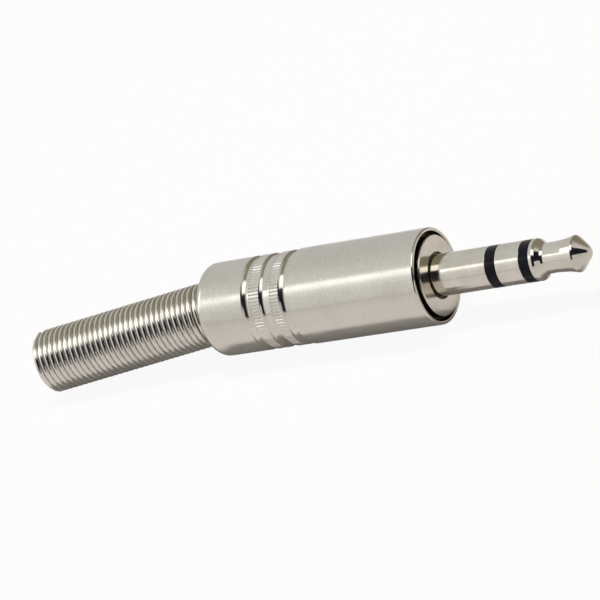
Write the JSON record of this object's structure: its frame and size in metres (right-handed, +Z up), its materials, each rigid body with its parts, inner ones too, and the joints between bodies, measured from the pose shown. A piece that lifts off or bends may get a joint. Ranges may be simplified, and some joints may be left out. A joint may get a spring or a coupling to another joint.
{
  "type": "stereo jack plug",
  "caption": "Three-pole 3.5 mm jack plug with a screw-on round metal barrel, knurled bands and a close-wound spring strain relief, lying on its side.",
  "frame": {"origin": "centre of the flange's front face, where the plug seats on a socket, on the pin's axis", "axes": "+X along the pin's axis towards the tip, +Z up as the plug lies on a flat surface, -Y the side its spring bends to"},
  "size_m": [0.0532, 0.0091, 0.0082],
  "materials": {
    "polished_nickel": "polished nickel plate on turned brass",
    "satin_nickel": "satin nickel plate, fine turning marks round the axis",
    "spring_steel": "bright nickel-plated spring wire",
    "black_insulator": "glossy moulded black plastic",
    "tinned_brass": "bright tin plate on stamped brass",
    "tube_plastic": "thin black plastic tube, dull sheen"
  },
  "bodies": {
    "plug": {"tip_contact": "polished_nickel", "tip_insulator": "black_insulator", "ring_contact": "polished_nickel", "ring_insulator": "black_insulator", "sleeve_contact": "polished_nickel", "threaded_body": "polished_nickel", "ground_terminal": "tinned_brass", "ring_lug_insulator": "black_insulator", "ring_terminal": "tinned_brass", "tip_lug_insulator": "black_insulator", "tip_terminal": "tinned_brass"},
    "liner": {"insulating_tube": "tube_plastic"},
    "barrel": {"shell": "satin_nickel"},
    "spring": {"strain_relief_spring": "spring_steel"}
  },
  "joints": [
    {"name": "barrel_travel", "type": "slide", "parent": "plug", "child": "liner", "axis": [-1, 0, 0], "range_m": [0, 0.003]},
    {"name": "barrel_turn", "type": "hinge", "parent": "liner", "child": "barrel", "pos_m": [-0.01, 0, 0], "axis": [-1, 0, 0], "range_deg": [0, 2160]},
    {"name": "spring_bend", "type": "hinge", "parent": "liner", "child": "spring", "pos_m": [-0.02085, 0, 0], "axis": [0, -0.4858, 0.874], "range_deg": [-28.1, 11.9], "stiffness_Nm_per_rad": 0.01, "deforming": ["strain_relief_spring"]}
  ],
  "couplings": [
    {"joint": "barrel_turn", "follows": "barrel_travel", "rad_per_m": 12566}
  ]
}
